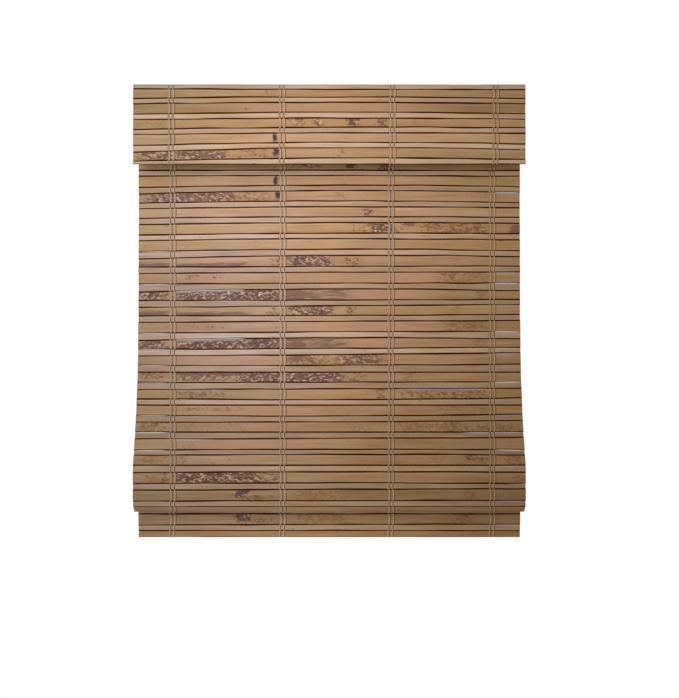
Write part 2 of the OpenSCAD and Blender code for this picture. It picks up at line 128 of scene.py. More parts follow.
grainShade = addNode(tree, "ShaderNodeMapRange",
                     values={"From Min": 0.25, "From Max": 0.75, "To Min": 0.78, "To Max": 1.18},
                     links={"Value": grain.outputs["Fac"]})
fibre = addNode(tree, "ShaderNodeVectorMath", {"operation": "SCALE"},
                links={0: tintAndLight.outputs["Color"], "Scale": grainShade.outputs[0]})
goldShare = addNode(tree, "ShaderNodeMapRange", values={"From Min": 0.45, "From Max": 0.65, "To Max": 0.5},
                    links={"Value": band.outputs["Red"]})
golden = addNode(tree, "ShaderNodeMix", {"data_type": "RGBA", "blend_type": "MULTIPLY"},
                 {"B": hexColour(bambooLook["golden"])}, {"Factor": goldShare.outputs[0], "A": fibre.outputs["Vector"]})
rosyShare = addNode(tree, "ShaderNodeMapRange", values={"From Min": 0.45, "From Max": 0.65, "To Max": 0.45},
                    links={"Value": band.outputs["Green"]})
rosy = addNode(tree, "ShaderNodeMix", {"data_type": "RGBA", "blend_type": "MULTIPLY"},
               {"B": hexColour(bambooLook["rosy"])}, {"Factor": rosyShare.outputs[0], "A": golden.outputs["Result"]})
blushed = addNode(tree, "ShaderNodeMix", {"data_type": "RGBA"}, {"B": hexColour(bambooLook["blush"])},
                  {"Factor": washAndShade.outputs["Red"], "A": rosy.outputs["Result"]})

# Each mark eats into a noise: the stronger the mark, the more of the noise it covers
curlLevel = addNode(tree, "ShaderNodeMath", {"operation": "MULTIPLY_ADD"}, {1: 0.3},
                    {0: washAndShade.outputs["Green"], 2: mottle.outputs["Fac"]})
curlShare = addNode(tree, "ShaderNodeMapRange", {"interpolation_type": "SMOOTHSTEP"},
                    {"From Min": 0.7, "From Max": 0.86, "To Max": 0.6}, {"Value": curlLevel.outputs[0]})
curled = addNode(tree, "ShaderNodeMix", {"data_type": "RGBA"}, {"B": hexColour(bambooLook["curl"])},
                 {"Factor": curlShare.outputs[0], "A": blushed.outputs["Result"]})
hazeShare = addNode(tree, "ShaderNodeMath", {"operation": "MULTIPLY"}, {1: 0.5}, {0: mark.outputs["Green"]})
hazed = addNode(tree, "ShaderNodeMix", {"data_type": "RGBA"}, {"B": hexColour(bambooLook["under"])},
                {"Factor": hazeShare.outputs[0], "A": curled.outputs["Result"]})
streakLevel = addNode(tree, "ShaderNodeMath", {"operation": "MULTIPLY_ADD"}, {1: 0.5},
                      {0: mark.outputs["Green"], 2: streak.outputs["Fac"]})
streakShare = addNode(tree, "ShaderNodeMapRange", {"interpolation_type": "SMOOTHSTEP"},
                      {"From Min": 0.66, "From Max": 0.9, "To Max": 0.8}, {"Value": streakLevel.outputs[0]})
streaked = addNode(tree, "ShaderNodeMix", {"data_type": "RGBA"}, {"B": hexColour(bambooLook["smoke"])},
                   {"Factor": streakShare.outputs[0], "A": hazed.outputs["Result"]})
strong = addNode(tree, "ShaderNodeMapRange", values={"From Min": 0.66, "From Max": 0.82},
                 links={"Value": mark.outputs["Red"]})
underShare = addNode(tree, "ShaderNodeMath", {"operation": "MULTIPLY"}, {1: 0.6}, {0: strong.outputs[0]})
underlaid = addNode(tree, "ShaderNodeMix", {"data_type": "RGBA"}, {"B": hexColour(bambooLook["under"])},
                    {"Factor": underShare.outputs[0], "A": streaked.outputs["Result"]})
paleLevel = addNode(tree, "ShaderNodeMapRange", values={"From Min": 0.49, "From Max": 0.37, "To Max": 0.8},
                    links={"Value": mottle.outputs["Fac"]})
paleShare = addNode(tree, "ShaderNodeMath", {"operation": "MULTIPLY"},
                    links={0: strong.outputs[0], 1: paleLevel.outputs[0]})
paled = addNode(tree, "ShaderNodeMix", {"data_type": "RGBA"}, {"B": hexColour(bambooLook["pale"])},
                {"Factor": paleShare.outputs[0], "A": underlaid.outputs["Result"]})
scorchLevel = addNode(tree, "ShaderNodeMath", {"operation": "MULTIPLY_ADD"}, {1: 0.4},
                      {0: mark.outputs["Red"], 2: mottle.outputs["Fac"]})
scorchShare = addNode(tree, "ShaderNodeMapRange", {"interpolation_type": "SMOOTHSTEP"},
                      {"From Min": 0.66, "From Max": 0.9, "To Max": 0.92}, {"Value": scorchLevel.outputs[0]})
scorchHue = addNode(tree, "ShaderNodeMapRange", values={"From Min": 0.4, "From Max": 0.6},
                    links={"Value": band.outputs["Blue"]})
darkScorch = addNode(tree, "ShaderNodeMix", {"data_type": "RGBA"},
                     {"A": hexColour(bambooLook["brown"]), "B": hexColour(bambooLook["purple"])},
                     {"Factor": scorchHue.outputs[0]})
scorch = addNode(tree, "ShaderNodeMix", {"data_type": "RGBA"}, {"A": hexColour(bambooLook["russet"])},
                 {"Factor": strong.outputs[0], "B": darkScorch.outputs["Result"]})
scorched = addNode(tree, "ShaderNodeMix", {"data_type": "RGBA"},
                   links={"Factor": scorchShare.outputs[0], "A": paled.outputs["Result"],
                          "B": scorch.outputs["Result"]})
knotLeft = addNode(tree, "ShaderNodeMath", {"operation": "MULTIPLY"}, {1: -1.3}, {0: knotAt.outputs["Fac"]})
knotRight = addNode(tree, "ShaderNodeMath", {"operation": "MULTIPLY"}, {1: 0.85}, {0: knotAt.outputs["Fac"]})
knotOff = addNode(tree, "ShaderNodeMath", {"operation": "MAXIMUM"},
                  links={0: knotLeft.outputs[0], 1: knotRight.outputs[0]})
knotRag = addNode(tree, "ShaderNodeMath", {"operation": "MULTIPLY_ADD"}, {1: -2.2},
                  {0: mottle.outputs["Fac"], 2: knotOff.outputs[0]})
knotNear = addNode(tree, "ShaderNodeMapRange", {"interpolation_type": "SMOOTHSTEP"},
                   {"From Min": 0.2, "From Max": -0.9}, {"Value": knotRag.outputs[0]})
knotShare = addNode(tree, "ShaderNodeMath", {"operation": "MULTIPLY"},
                    links={0: mark.outputs["Blue"], 1: knotNear.outputs[0]})
knotted = addNode(tree, "ShaderNodeMix", {"data_type": "RGBA"}, {"B": hexColour(bambooLook["char"])},
                  {"Factor": knotShare.outputs[0], "A": scorched.outputs["Result"]})
fallShaded = addNode(tree, "ShaderNodeVectorMath", {"operation": "MULTIPLY"},
                  links={0: knotted.outputs["Result"], 1: shadeFall.outputs["Color"]})

# Painted shade: towards its edges, where they face into the gaps, a slat is painted warm, then dark. A painted
# highlight greys the upper edge where light comes through an open gap.
gapWarmShaded = addNode(tree, "ShaderNodeMix", {"data_type": "RGBA", "blend_type": "MULTIPLY"},
                  {"B": hexColour(bambooLook["gapWarmth"])}, {"Factor": washAndShade.outputs["Blue"], "A": fallShaded.outputs[0]})
gapShaded = addNode(tree, "ShaderNodeMix", {"data_type": "RGBA"}, {"B": hexColour(bambooLook["edge"])},
                {"Factor": washAndShade.outputs["Blue"], "A": gapWarmShaded.outputs["Result"]})
glinted = addNode(tree, "ShaderNodeMix", {"data_type": "RGBA"}, {"B": hexColour(bambooLook["glint"])},
                  {"Factor": marksAndGlint.outputs["Alpha"], "A": gapShaded.outputs["Result"]})
sheen = addNode(tree, "ShaderNodeMapRange", values={"To Min": 0.5, "To Max": 0.64},
                links={"Value": grain.outputs["Fac"]})
relief = addNode(tree, "ShaderNodeBump", values={"Strength": 0.25, "Distance": 0.0003},
                 links={"Height": grain.outputs["Fac"]})
tree.links.new(glinted.outputs["Result"], shader.inputs["Base Color"])
tree.links.new(sheen.outputs[0], shader.inputs["Roughness"])
tree.links.new(relief.outputs[0], shader.inputs["Normal"])
shine = addNode(tree, "ShaderNodeMapRange", values={"To Min": 0.16, "To Max": 0}, links={"Value": washAndShade.outputs["Blue"]})
tree.links.new(shine.outputs[0], shader.inputs["Specular IOR Level"])

# Twisted cotton thread, unbleached: pale and matt on top with slanting plies, with painted shade where it turns under
# and down its right flank.
# The plies are drawn coarser than they are, because real ones are too fine to show.
thread, tree, shader = newMaterial("cottonThread")
threadLook = {"top": "#C8A786", "under": "#412B1A", "ply": 4.4, "plyShade": 0.3}
rim, turn, tone = [addNode(tree, "ShaderNodeAttribute", {"attribute_name": name})
                   for name in ("threadShadeSide", "threadTurn", "threadPaintedLight")]
turned = addNode(tree, "ShaderNodeSeparateXYZ", links={"Vector": turn.outputs["Vector"]})
advance = addNode(tree, "ShaderNodeMath", {"operation": "MULTIPLY"}, {1: 2 * math.pi / threadLook["ply"]},
                  {0: turned.outputs["X"]})
sine = addNode(tree, "ShaderNodeMath", {"operation": "SINE"}, links={0: advance.outputs[0]})
cosine = addNode(tree, "ShaderNodeMath", {"operation": "COSINE"}, links={0: advance.outputs[0]})
sinePart = addNode(tree, "ShaderNodeMath", {"operation": "MULTIPLY"},
                   links={0: sine.outputs[0], 1: turned.outputs["Y"]})
ply = addNode(tree, "ShaderNodeMath", {"operation": "MULTIPLY_ADD"},
              links={0: cosine.outputs[0], 1: turned.outputs["Z"], 2: sinePart.outputs[0]})
plyShade = addNode(tree, "ShaderNodeMapRange",
                   values={"From Min": -1, "To Min": 1 - threadLook["plyShade"], "To Max": 1},
                   links={"Value": ply.outputs[0]})
shadeSideMix = addNode(tree, "ShaderNodeMix", {"data_type": "RGBA"},
                 {"A": hexColour(threadLook["top"]), "B": hexColour(threadLook["under"])},
                 {"Factor": rim.outputs["Fac"]})
plied = addNode(tree, "ShaderNodeVectorMath", {"operation": "SCALE"},
                links={0: shadeSideMix.outputs["Result"], "Scale": plyShade.outputs[0]})
toned = addNode(tree, "ShaderNodeVectorMath", {"operation": "MULTIPLY"},
                links={0: plied.outputs[0], 1: tone.outputs["Color"]})
tree.links.new(toned.outputs[0], shader.inputs["Base Color"])
shader.inputs["Roughness"].default_value = 0.9
shader.inputs["Specular IOR Level"].default_value = 0.15
print("slat and thread materials made")

# The mat: each run is a row of slats between two fold lines, laid out as in the CAD model
mat = {"length": 750, "wide": 20.5, "narrow": 10.6, "hem": 13.4, "thick": 2.5, "gap": 0.6,
       "upperLean": [0, 1.5, 9.4], "lowerLean": [0, 4, 18], "foldWide": 46, "foldNarrow": 126, "over": 148,
       "bridge": 78, "hemLean": 1.5, "valanceWide": 17.6, "valanceNarrow": 9.6, "valanceSlats": 11,
       "valanceY": -34.75, "valanceTop": 0, "matY": 18.75, "matTop": -54.9, "wideOver": 15}
wide, narrow = mat["wide"], mat["narrow"]
leafSlats = [wide, narrow, wide, narrow]
lowerSlats = [narrow, wide, narrow, wide]


def runLength(slats):
    return sum(slats) + len(slats) * mat["gap"]


def below(start, lean, slats):
    turn = math.radians(lean)
    return (start[0] - runLength(slats) * math.sin(turn), start[1] - runLength(slats) * math.cos(turn))


runs = []


def hang(node, start, lean, slats):
    runs.append({"node": node, "start": start, "lean": lean, "slats": slats})
    return below(start, lean, slats)


valanceSlats = [mat["valanceWide"] if i % 2 else mat["valanceNarrow"] for i in range(mat["valanceSlats"])]
hang("valance", (mat["valanceY"], mat["valanceTop"]), 0, valanceSlats)
foldLine = hang("upper_mat", (mat["matY"], mat["matTop"]), 0, [narrow, wide] * 3 + [narrow])
for pleat, (up, low, nextLean) in enumerate(zip(mat["upperLean"], mat["lowerLean"], mat["upperLean"][1:] + [0])):
    name = f"pleat_{pleat + 1}"
    foldLine = hang(name + "_upper_leaf", foldLine, up, leafSlats)
    foldLine = hang(name + "_nose", foldLine, up, [wide])
    foldLine = hang(name + "_nose", foldLine, (up + low) / 2, [narrow])
    foldLine = hang(name + "_nose", foldLine, low, [wide])
    foldLine = hang(name + "_lower_leaf", foldLine, low, lowerSlats)
    foldLine = hang(f"batten_slat_{pleat + 2}", foldLine, (low + nextLean) / 2, [narrow])
foldLine = hang("bottom_front_leaf", foldLine, 0, leafSlats)
foldLine = hang("bottom_fold_wide_slat", foldLine, -mat["foldWide"], [wide])
foldLine = hang("bottom_fold_narrow_slat", foldLine, -mat["foldNarrow"], [narrow])
foldLine = hang("bottom_return_leaf", foldLine, -180, [wide, narrow, wide])
foldLine = hang("bottom_over_slat", foldLine, -mat["over"], [narrow])
foldLine = hang("bottom_bridge_slat", foldLine, -mat["bridge"], [wide])
foldLine = hang("hem_flap", foldLine, -mat["hemLean"], [narrow, wide] * 3 + [narrow, mat["hem"]])
print("mat laid out:", len(runs), "runs, hem at", round(foldLine[1], 1))

# Scorch marks by slat: from and to in mm from the left end, what it is, how strong,
# and from and to across the slat's height
scorchMarks = {
    ("valance", 1): [(247, 285, "speckle", 0.45, 0, 1)],
    ("valance", 3): [(176, 567, "blush", 0.8, 0, 1)],
    ("valance", 5): [
        (10, 113, "tan", 0.5, 0, 1), (294, 338, "speckle", 0.74, 0.2, 1.2), (343, 366, "speckle", 0.78, 0.1, 1),
        (408, 428, "knot", 0.7, 0.1, 1), (404, 440, "speckle", 0.7, 0, 1), (462, 486, "speckle", 0.74, 0, 1),
        (525, 575, "tan", 0.6, 0, 1)],
    ("valance", 7): [(265, 275, "knot", 1, 0.05, 0.95), (281, 560, "blush", 0.6, 0, 1)],
    ("valance", 9): [
        (2, 190, "speckle", 0.78, 0, 1), (130, 262, "speckle", 0.56, 0, 1), (266, 281, "knot", 1, 0.2, 0.98),
        (382, 409, "speckle", 0.4, 0, 1), (176, 376, "blush", 0.35, 0, 1)],
    ("upper_mat", 5): [
        (3, 86, "tan", 0.5, 0, 1), (296, 361, "speckle", 0.85, 0.2, 1), (404, 430, "speckle", 1, 0.1, 1),
        (464, 506, "speckle", 0.8, 0, 1), (549, 577, "tan", 0.5, 0, 1)],
    ("pleat_1_upper_leaf", 0): [(264, 274, "knot", 1, 0.05, 0.95), (280, 560, "blush", 0.6, 0, 1)],
    ("pleat_1_upper_leaf", 2): [
        (3, 200, "speckle", 0.78, 0, 1), (140, 262, "speckle", 0.56, 0, 1), (266, 281, "knot", 1, 0.2, 0.98),
        (382, 410, "speckle", 0.4, 0, 1), (200, 376, "blush", 0.35, 0, 1)],
    ("pleat_1_nose", 0): [(441, 460, "speckle", 0.9, 0.1, 0.9), (62, 317, "blush", 0.25, 0, 1)],
    ("pleat_1_nose", 2): [
        (416, 452, "speckle", 0.6, 0, 1), (445, 518, "speckle", 0.8, 0, 1), (520, 547, "streak", 0.95, 0.5, 1.3),
        (549, 695, "tan", 1, 0, 1), (552, 695, "speckle", 0.58, 0, 1), (732, 760, "streak", 1, -0.2, 0.9)],
    ("pleat_1_lower_leaf", 1): [
        (223, 235, "tan", 0.5, 0, 1), (667, 750, "tan", 0.5, 0, 1), (298, 553, "blush", 0.25, 0, 1)],
    ("pleat_1_lower_leaf", 3): [
        (-20, 62, "streak", 1.1, -0.4, 0.5), (66, 215, "streak", 0.9, -0.4, 0.42), (255, 286, "speckle", 0.6, 0, 1),
        (290, 390, "speckle", 0.84, 0, 1), (290, 317, "streak", 0.8, 0.5, 1), (402, 437, "speckle", 0.75, 0.1, 0.9),
        (612, 632, "tan", 0.8, 0, 1), (66, 250, "blush", 0.55, 0.3, 1.3), (440, 540, "blush", 0.3, 0, 1)],
    ("pleat_2_upper_leaf", 0): [
        (90, 120, "speckle", 0.6, 0.3, 0.9), (118, 175, "speckle", 0.52, 0.4, 0.85), (588, 700, "tan", 0.95, 0, 1),
        (588, 640, "speckle", 0.5, 0, 1), (70, 288, "blush", 0.3, 0, 1), (288, 570, "blush", 0.75, 0, 1)],
    ("pleat_2_upper_leaf", 2): [
        (-8, 62, "fleck", 0.8, 0, 1), (68, 286, "fleck", 0.86, 0, 1), (276, 335, "streak", 0.8, -0.2, 1.2),
        (280, 335, "fleck", 0.5, 0, 1), (325, 420, "streak", 0.6, 0, 1), (655, 690, "tan", 1, 0, 1),
        (400, 560, "blush", 0.5, 0, 1)],
    ("pleat_2_nose", 0): [
        (-20, 62, "streak", 1.1, -0.4, 0.5), (66, 215, "streak", 0.9, -0.4, 0.42), (255, 288, "speckle", 0.6, 0, 1),
        (290, 390, "speckle", 0.82, 0, 1), (290, 314, "streak", 0.8, 0.5, 1), (404, 433, "speckle", 0.75, 0.1, 0.9),
        (612, 632, "tan", 0.8, 0, 1)],
    ("pleat_2_nose", 2): [
        (90, 120, "speckle", 0.6, 0.3, 0.9), (118, 175, "speckle", 0.52, 0.4, 0.85), (588, 690, "tan", 0.95, 0, 1),
        (70, 288, "blush", 0.35, 0, 1), (288, 570, "blush", 0.75, 0, 1)],
    ("pleat_2_lower_leaf", 1): [
        (-8, 62, "fleck", 0.8, 0, 1), (68, 286, "fleck", 0.86, 0, 1), (276, 335, "streak", 0.8, -0.2, 1.2),
        (280, 335, "fleck", 0.5, 0, 1), (325, 410, "streak", 0.6, 0, 1), (655, 690, "tan", 1, 0, 1),
        (400, 600, "blush", 0.5, 0, 1)],
    ("pleat_2_lower_leaf", 3): [
        (288, 380, "speckle", 0.66, 0, 1), (288, 330, "streak", 0.8, 0.4, 1.3), (380, 486, "speckle", 0.74, 0, 1),
        (83, 279, "blush", 0.6, 0, 1)],
    ("pleat_3_upper_leaf", 0): [
        (1, 64, "fleck", 0.7, 0.3, 1.3), (68, 190, "fleck", 0.72, 0.1, 1), (68, 292, "streak", 1, 0.7, 1.3),
        (185, 292, "fleck", 0.84, 0, 1), (280, 410, "fleck", 0.84, 0, 1), (405, 449, "fleck", 0.6, 0, 1),
        (287, 380, "streak", 0.8, 0.6, 1.3), (517, 548, "tan", 0.9, 0, 1)],
    ("pleat_3_upper_leaf", 2): [
        (69, 185, "tan", 1, 0, 1), (95, 150, "speckle", 0.5, 0, 0.8), (466, 485, "speckle", 0.6, 0, 1),
        (512, 690, "speckle", 0.66, -0.2, 0.85), (520, 690, "tan", 0.9, 0, 1), (510, 680, "streak", 0.7, 0.78, 1.4)],
    ("pleat_3_nose", 0): [
        (81, 205, "speckle", 0.5, 0.3, 0.9), (60, 310, "blush", 0.85, 0, 1), (567, 691, "tan", 0.7, 0.2, 1)],
    ("pleat_3_nose", 2): [
        (1, 61, "tan", 1, 0, 1), (20, 61, "speckle", 0.45, 0, 1), (78, 216, "tan", 0.55, 0, 1),
        (60, 310, "blush", 0.85, 0, 1), (400, 467, "tan", 0.7, 0, 1), (504, 640, "tan", 1, 0, 1),
        (590, 640, "speckle", 0.5, 0, 1), (634, 748, "speckle", 0.6, 0, 0.8)],
    ("pleat_3_lower_leaf", 1): [(80, 130, "tan", 0.5, 0, 1), (100, 315, "blush", 0.9, 0, 1)],
    ("pleat_3_lower_leaf", 3): [
        (9, 64, "tan", 0.85, 0, 1), (85, 112, "tan", 0.8, 0, 1), (564, 600, "tan", 0.8, 0.2, 0.9),
        (631, 655, "speckle", 0.8, 0.4, 1.3), (650, 680, "speckle", 0.55, 0, 0.9), (707, 748, "tan", 1, 0, 1)],
    ("bottom_front_leaf", 0): [
        (20, 66, "tan", 0.9, 0, 1), (52, 66, "speckle", 0.7, 0, 1), (68, 255, "speckle", 0.84, 0, 1),
        (245, 285, "speckle", 0.66, 0, 1), (721, 750, "tan", 0.8, 0, 1)],
    ("bottom_front_leaf", 2): [
        (190, 226, "speckle", 1.1, 0.2, 1.3), (205, 262, "speckle", 0.68, -0.2, 0.7),
        (256, 281, "speckle", 0.55, 0, 0.8), (300, 418, "tan", 0.9, 0, 1), (630, 655, "tan", 1, 0, 1)],
    ("hem_flap", 5): [
        (188, 222, "speckle", 1.1, 0.2, 1.3), (203, 258, "speckle", 0.68, -0.2, 0.7),
        (252, 278, "speckle", 0.55, 0, 0.8), (300, 420, "tan", 1, 0, 1), (610, 660, "tan", 1, 0, 1),
        (620, 655, "speckle", 0.5, 0.2, 0.9)],
}

# How far each gap line stands above its level place, in mm at the left end, the middle and the right end
gapLines = {
    "valance": {1: (1.8, 1.0, 0.3), 2: (1.7, 4.3, 1.7), 3: (1.6, 4.4, 1.8), 4: (-0.5, 3.6, 0.5), 5: (-0.6, 2.9, 0.2),
                6: (-0.9, 3.1, 2.4), 7: (-0.2, 3.2, 1.7), 8: (-3.6, 2.9, -0.3), 9: (-6.0, 3.0, -0.6),
                10: (-5.1, 1.4, -1.3)},
    "upper_mat": {6: (-2.6, -1.8, -2.9)},
    "pleat_1_upper_leaf": {0: (-2.0, -0.8, -2.4), 1: (-3.9, 1.1, -2.3), 2: (-5.0, 1.8, -2.5), 3: (-2.4, 2.5, -1.0)},
    "pleat_1_nose": {0: (-1.2, 2.1, 0.2), 1: (0.6, 3.4, 2.4), 2: (-0.6, 3.4, 1.8)},
    "pleat_1_lower_leaf": {0: (-0.1, 3.4, 2.9), 1: (-0.1, 4.0, 1.9), 2: (-1.0, 4.3, 1.2), 3: (-3.6, 3.5, 1.0)},
    "batten_slat_2": {0: (1.8, 2.8, 4.0)},
    "pleat_2_upper_leaf": {0: (0.4, 2.6, 3.5), 1: (-0.3, 2.2, 2.0), 2: (-3.8, 2.2, -1.3), 3: (0.3, 1.3, 2.4)},
    "pleat_2_nose": {0: (-2.2, 1.4, 3.8), 1: (2.3, 3.4, 5.2), 2: (1.2, 3.2, 5.0)},
    "pleat_2_lower_leaf": {0: (0.3, 3.2, 3.8), 1: (-2.6, 3.2, 0.7), 2: (1.4, 3.1, 5.3), 3: (-0.2, 2.3, 6.0)},
    "batten_slat_3": {0: (2.0, 2.2, 4.6)},
    "pleat_3_upper_leaf": {1: (0.6, 1.2, 2.2), 2: (-2.2, -0.7, 0.8), 3: (1.2, -0.9, 2.8)},
    "pleat_3_nose": {1: (0.9, -0.2, 3.0), 2: (-1.0, -0.5, 2.4)},
    "pleat_3_lower_leaf": {1: (-2.0, -0.8, 1.0), 2: (-2.8, -1.4, -2.6), 3: (-1.9, 0.2, -0.6)},
    "bottom_front_leaf": {0: (-2.4, -0.8, -1.6), 1: (-2.6, -1.2, -1.9), 2: (-3.4, -1.7, -0.6), 3: (-3.6, -2.5, -2.1)},
    "bottom_fold_wide_slat": {0: (-3.0, -2.4, -2.6)},
    "hem_flap": {6: (-1.7, -0.1, 0.3), 7: (-0.9, -0.7, -1.1)}}
# The lowest pleat folds at these lines, so they are straight and the slats there have a sharper edge
hingeLines = [("pleat_3_upper_leaf", 0), ("pleat_3_nose", 0), ("pleat_3_lower_leaf", 0), ("batten_slat_4", 0)]

# Where the gap above a slat stands open, and a painted highlight stands for light that comes through and catches the
# slat's upper edge:
# node, slat, from and to in mm from the left end, how far open in mm, how bright
openGaps = [
    ("valance", 9, 694, 748, 0.21, 0.4), ("pleat_1_upper_leaf", 2, 694, 748, 0.24, 0.6),
    ("pleat_1_lower_leaf", 2, 4, 58, 0.24, 0.6), ("pleat_2_upper_leaf", 0, 694, 748, 0, 0.6),
    ("pleat_2_upper_leaf", 1, 4, 58, 0.28, 0.8), ("pleat_2_upper_leaf", 1, 694, 748, 0.28, 0.8),
    ("pleat_2_upper_leaf", 2, 72, 205, 0.28, 0.8), ("pleat_2_nose", 0, 694, 748, 0, 0.4),
    ("pleat_2_lower_leaf", 0, 4, 56, 0.28, 0.8), ("pleat_2_lower_leaf", 0, 694, 748, 0.24, 0.8),
    ("pleat_2_lower_leaf", 1, 72, 205, 0.28, 0.8), ("pleat_2_lower_leaf", 2, 4, 58, 0.21, 0.7),
    ("pleat_2_lower_leaf", 3, 690, 748, 0, 0.6), ("batten_slat_3", 0, 2, 58, 0.24, 0.7),
    ("pleat_3_upper_leaf", 1, 4, 58, 0.21, 0.6), ("pleat_3_upper_leaf", 1, 694, 748, 0.28, 0.9),
    ("pleat_3_upper_leaf", 2, 70, 165, 0, 0.5), ("pleat_3_upper_leaf", 2, 517, 672, 0, 0.7),
    ("pleat_3_nose", 1, 4, 60, 0.21, 0.6), ("pleat_3_nose", 1, 73, 209, 0, 0.6), ("pleat_3_nose", 1, 700, 748, 0, 0.4),
    ("pleat_3_lower_leaf", 0, 2, 60, 0.32, 0.8), ("pleat_3_lower_leaf", 0, 640, 748, 0.14, 0.7),
    ("pleat_3_lower_leaf", 1, 68, 140, 0, 0.7), ("pleat_3_lower_leaf", 2, 4, 58, 0.28, 0.8),
    ("pleat_3_lower_leaf", 2, 696, 748, 0.28, 0.8), ("batten_slat_4", 0, 4, 56, 0, 0.4),
    ("batten_slat_4", 0, 700, 748, 0, 0.4),
    ("bottom_front_leaf", 1, 4, 58, 0.21, 0.6), ("bottom_front_leaf", 1, 725, 748, 0.21, 0.6),
    ("bottom_front_leaf", 3, 4, 58, 0, 0.5), ("bottom_front_leaf", 3, 696, 748, 0, 0.5),
    ("hem_flap", 6, 4, 58, 0, 0.5), ("hem_flap", 6, 696, 748, 0, 0.5)]

# The cut of bamboo that a wide slat is from; the others are tan
slatTones = {
    ("valance", 3): "olive", ("valance", 5): "golden", ("valance", 7): "pale", ("upper_mat", 5): "golden",
    ("pleat_1_upper_leaf", 0): "golden", ("pleat_1_nose", 0): "pale", ("pleat_1_nose", 2): "golden",
    ("pleat_1_lower_leaf", 1): "golden", ("pleat_2_nose", 0): "golden", ("pleat_3_upper_leaf", 2): "golden",
    ("pleat_3_nose", 0): "golden", ("bottom_front_leaf", 2): "olive", ("hem_flap", 5): "olive"}

# Lengths are in mm. "rows" are shares of the slat's height, "lip" is the bevel at a gap, "wander" is the bend of a gap
# line, and a painted shade or gain multiplies red, green and blue
slatLook = {"segments": 190, "bevel": 1.0, "rows": [0, 0.06, 0.22, 0.5, 0.78, 0.94, 1], "rowGapShade": 0.9, "bow": 0.12,
            "wander": 0.7, "foldWander": 0.3, "wanderOver": 70, "shut": 0.01,
            "hingeShut": 0.008, "hingeLip": 1.1, "hingeEdge": 0.03,
            "lipLeast": 0.45, "lipMost": 1.5, "lipMiddle": 0.45, "lipSwing": 0.9, "lipOver": 70, "lipSeeds": (0.3, 0.9),
            "unevenEnd": 0.9, "unevenFrom": 300, "gapSoft": 14, "glintSoft": 30, "glintMost": 0.75, "glintFrom": 0.88,
            "glintBlur": 0.18, "tight": 0.01, "diceSeed": 19, "lineSeed": 1.7, "slatSeed": 5.3,
            "slatApart": (137.0, 2.31), "waveApart": 3.17, "waveLevel": 0.5,
            "drift": [(0.12, 170, 0), (0.06, 45, 7)], "topLight": 0.16, "topFrom": 0.7, "blushMost": 0.6,
            "knotFar": 20, "markSoft": 0.25, "markHard": 1e-6,
            "softEnds": {"speckle": 34, "fleck": 34, "streak": 30, "tan": 40, "blush": 120}, "softMost": 0.5,
            "tan": "#AA8764", "golden": "#AF8B62", "olive": "#9C7D58", "pale": "#B59370",
            "narrow": ["#B99D84", "#B1957B", "#BEA287", "#A98D71"], "hem": "#A07C55",
            # Painted light: a painted shade darkens the mat towards its ends and the hem, and a painted pool of cool
            # light lightens it left of the middle
            "leftShade": (0.84, 0.9, 0.96), "rightShade": (0.67, 0.66, 0.6),
            "lightPoolAt": (205, -520), "lightPoolOver": (160, 400), "lightPoolGain": (1.09, 1.18, 1.48),
            "hemShade": [(0, (1, 1, 1)), (-170, (1.07, 1.07, 1.06)), (-330, (1.03, 1.03, 1.04)),
                        (-420, (0.93, 0.93, 0.93)), (-540, (0.9, 0.89, 0.87)), (-630, (0.77, 0.75, 0.67)),
                        (-800, (0.75, 0.74, 0.68)), (-830, (0.93, 0.92, 0.85))]}


def ramp(value, start, end, soft):
    rise = min(1, max(0, (value - start) / soft + 0.5))
    fall = min(1, max(0, (end - value) / soft + 0.5))
    return rise * fall


def wave(along, over, seed):
    return noise.noise(Vector((along / over, seed * slatLook["waveApart"], slatLook["waveLevel"])))


def lineAt(line, along):
    # Height of a gap line above its level place; where none is given, it only wanders
    left, middle, right = line["rise"]
    t = 2 * along / mat["length"] - 1
    level = middle + (right - left) / 2 * t + ((left + right) / 2 - middle) * t * t
    return level + line["wander"] * wave(along, slatLook["wanderOver"], line["seed"])


def openAt(node, index, along):
    # How far the gap above a slat stands open, and how bright the painted highlight on the slat's upper edge is there
    found = [(ramp(along, start, end, slatLook["gapSoft"]) * gap,
              ramp(along, start, end, slatLook["glintSoft"]) * bright)
             for name, slat, start, end, gap, bright in openGaps if (name, slat) == (node, index)]
    return sum(gap for gap, bright in found), max([bright for gap, bright in found] or [0])


def shadeFallAt(along, z):
    # Painted shade over the whole mat: darker and browner towards the right end, the left end and the hem, where less
    # light falls
    stops = slatLook["hemShade"]
    after = next((i for i, stop in enumerate(stops) if z > stop[0]), len(stops) - 1)
    (zA, shadeA), (zB, shadeB) = stops[max(0, after - 1)], stops[after]
    share = min(1, max(0, (z - zA) / (zB - zA))) if zA != zB else 0
    toLeft, toRight = max(0, 1 - 2 * along / mat["length"]), max(0, 2 * along / mat["length"] - 1)
    return [(a + (b - a) * share) * (1 + (left - 1) * toLeft ** 2 + (right - 1) * toRight)
            for a, b, left, right in zip(shadeA, shadeB, slatLook["leftShade"], slatLook["rightShade"])]


def lightPoolAt(node, along, z):
    # Painted reflection: the mat, but not the valance, is painted lighter and bluer left of the middle, as a pool of
    # cool light
    offAlong, offZ = [(at - middle) / over for at, middle, over
                      in zip((along, z), slatLook["lightPoolAt"], slatLook["lightPoolOver"])]
    pooledLight = 0 if node == "valance" else math.exp(-offAlong ** 2 - offZ ** 2)
    return [1 + (gain - 1) * pooledLight for gain in slatLook["lightPoolGain"]]


